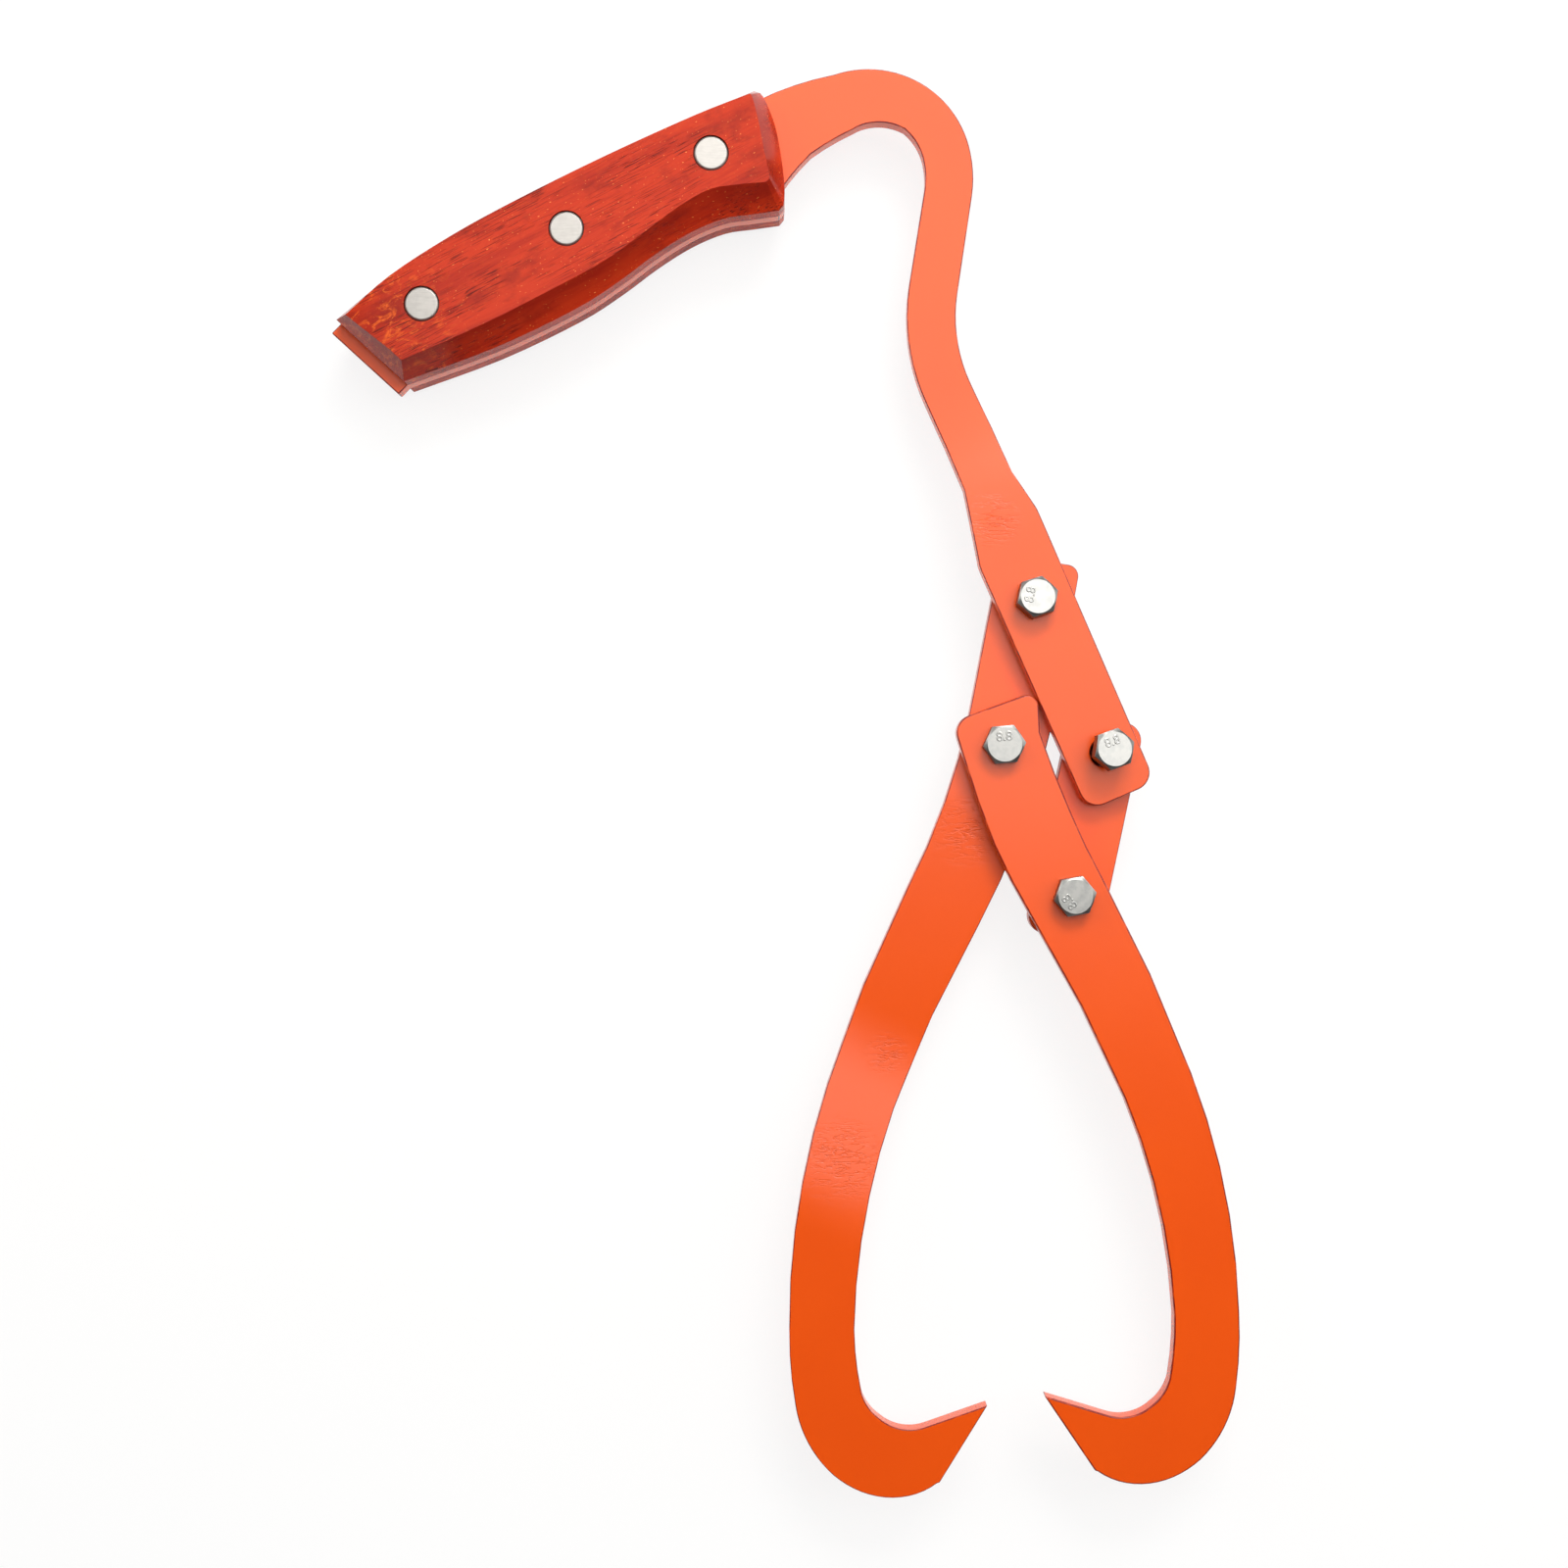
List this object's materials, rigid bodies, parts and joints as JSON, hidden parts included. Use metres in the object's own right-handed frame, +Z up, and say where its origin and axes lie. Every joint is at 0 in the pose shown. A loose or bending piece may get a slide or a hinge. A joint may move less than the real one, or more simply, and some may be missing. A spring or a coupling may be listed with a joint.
{
  "type": "log tongs",
  "caption": "Log tongs with two hooked plate jaws on a four-pivot linkage and a gooseneck handle bar with a riveted wooden grip.",
  "frame": {"origin": "under the middle of the outline, on the plane that the tongs lie on", "axes": "+Z up through the plates toward the front face, +Y toward the gooseneck and away from the points, +X to the right seen from the front"},
  "size_m": [0.2464, 0.3878, 0.0293],
  "materials": {
    "handle_bar": "glossy orange powder coat",
    "left_jaw": "glossy orange powder coat",
    "right_jaw": "glossy orange powder coat",
    "link": "glossy orange powder coat",
    "scales": "stained and lacquered",
    "rivets": "satin",
    "fasteners": "zinc plated",
    "lock_rings": "nylon"
  },
  "bodies": {
    "handle": {"handle_bar": "handle_bar", "front_scale": "scales", "rear_scale": "scales", "rivet_sleeve_butt": "rivets", "rivet_sleeve_middle": "rivets", "rivet_sleeve_front": "rivets", "rivet_post_butt": "rivets", "rivet_post_middle": "rivets", "rivet_post_front": "rivets", "bolt_top": "fasteners", "nut_top": "fasteners", "lock_ring_top": "lock_rings", "bolt_side": "fasteners", "nut_side": "fasteners", "lock_ring_side": "lock_rings"},
    "left_jaw": {"left_jaw": "left_jaw"},
    "right_jaw": {"right_jaw": "right_jaw", "bolt_centre": "fasteners", "nut_centre": "fasteners", "lock_ring_centre": "lock_rings", "bolt_lower": "fasteners", "nut_lower": "fasteners", "lock_ring_lower": "lock_rings"},
    "link": {"link": "link"}
  },
  "joints": [
    {"name": "top_pivot", "type": "hinge", "parent": "handle", "child": "left_jaw", "pos_m": [0.06756, 0.04817, 0.01515], "axis": [0, 0, -1], "range_deg": [0, 80]},
    {"name": "centre_pivot", "type": "hinge", "parent": "left_jaw", "child": "right_jaw", "pos_m": [0.05935, 0.00954, 0.01515], "axis": [0, 0, 1], "range_deg": [0, 80]},
    {"name": "side_pivot", "type": "hinge", "parent": "handle", "child": "link", "pos_m": [0.08651, 0.00736, 0.01515], "axis": [0, 0, -1], "range_deg": [0, 80]}
  ],
  "couplings": [
    {"joint": "centre_pivot", "follows": "top_pivot", "ratio": 1},
    {"joint": "side_pivot", "follows": "top_pivot", "ratio": 1}
  ]
}
